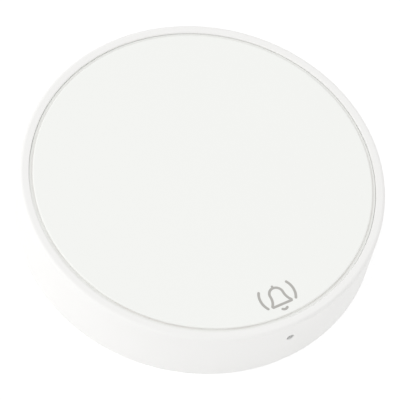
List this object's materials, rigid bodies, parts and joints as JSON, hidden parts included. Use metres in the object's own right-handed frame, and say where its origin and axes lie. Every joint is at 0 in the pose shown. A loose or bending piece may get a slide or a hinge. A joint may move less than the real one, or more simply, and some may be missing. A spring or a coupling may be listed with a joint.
{
  "type": "panic button",
  "caption": "Round wireless panic button: press plate on sprung guide posts over a key switch, coin-cell board inside, twist-lock rear cover with wall-screw slots and an adhesive pad.",
  "frame": {"origin": "centre of the underside, on the surface that the puck is fixed to or lies on", "axes": "+Z out through the press plate, -Y towards the lamp hole in the wall"},
  "size_m": [0.07, 0.07, 0.014],
  "materials": {
    "cover_plastic": "fine spark texture, white ABS",
    "pad_foam": "closed-cell acrylic foam tape",
    "housing_plastic": "satin white ABS",
    "cap_plastic": "satin white ABS",
    "clear_plastic": "clear acrylic",
    "lamp_resin": "clear resin on a white carrier",
    "board_laminate": "green solder mask over laminate",
    "zinc_steel": "zinc-plated",
    "cell_can": null,
    "holder_plastic": "black glass-filled polyester",
    "contact_steel": "nickel-plated spring steel",
    "switch_plastic": "black nylon",
    "stem_plastic": "light grey acetal",
    "tinned_brass": "tin-plated",
    "radio_laminate": "blue solder mask over laminate",
    "shield_steel": "tin-plated drawn sheet",
    "capacitor_resin": "moulded yellow resin",
    "capacitor_ceramic": "ceramic with tinned ends",
    "resistor_ceramic": "ceramic with tinned ends",
    "spring_steel": "music wire"
  },
  "bodies": {
    "base": {"rear_cover": "cover_plastic", "adhesive_pad": "pad_foam"},
    "housing": {"front_housing": "housing_plastic", "light_pipe": "clear_plastic", "status_led": "lamp_resin", "circuit_board": "board_laminate", "board_screws": "zinc_steel", "coin_cell": "cell_can", "battery_holder": "holder_plastic", "negative_contact": "contact_steel", "positive_contact": "contact_steel", "switch_base": "switch_plastic", "switch_dome": "contact_steel", "switch_cover": "contact_steel", "switch_terminals": "tinned_brass", "radio_board": "radio_laminate", "radio_shield": "shield_steel", "timing_crystal": "shield_steel", "storage_capacitor": "capacitor_resin", "chip_capacitors": "capacitor_ceramic", "chip_resistors": "resistor_ceramic", "return_spring_1": "spring_steel", "return_spring_2": "spring_steel", "return_spring_3": "spring_steel"},
    "button": {"button_cap": "cap_plastic"},
    "stem": {"switch_stem": "stem_plastic"}
  },
  "joints": [
    {"name": "housing_twist", "type": "hinge", "parent": "base", "child": "housing", "pos_m": [0, 0, 0], "axis": [0, 0, 1], "range_deg": [0, 20]},
    {"name": "button_press", "type": "slide", "parent": "housing", "child": "button", "axis": [0, 0, -1], "range_m": [0, 0.0005], "stiffness_N_per_m": 2400, "springref_m": -0.0006, "deforming": ["return_spring_1", "return_spring_2", "return_spring_3"]},
    {"name": "stem_press", "type": "slide", "parent": "housing", "child": "stem", "axis": [0, 0, -1], "range_m": [0, 0.0005], "deforming": ["switch_dome"]}
  ],
  "couplings": [
    {"joint": "stem_press", "follows": "button_press", "ratio": 1}
  ]
}
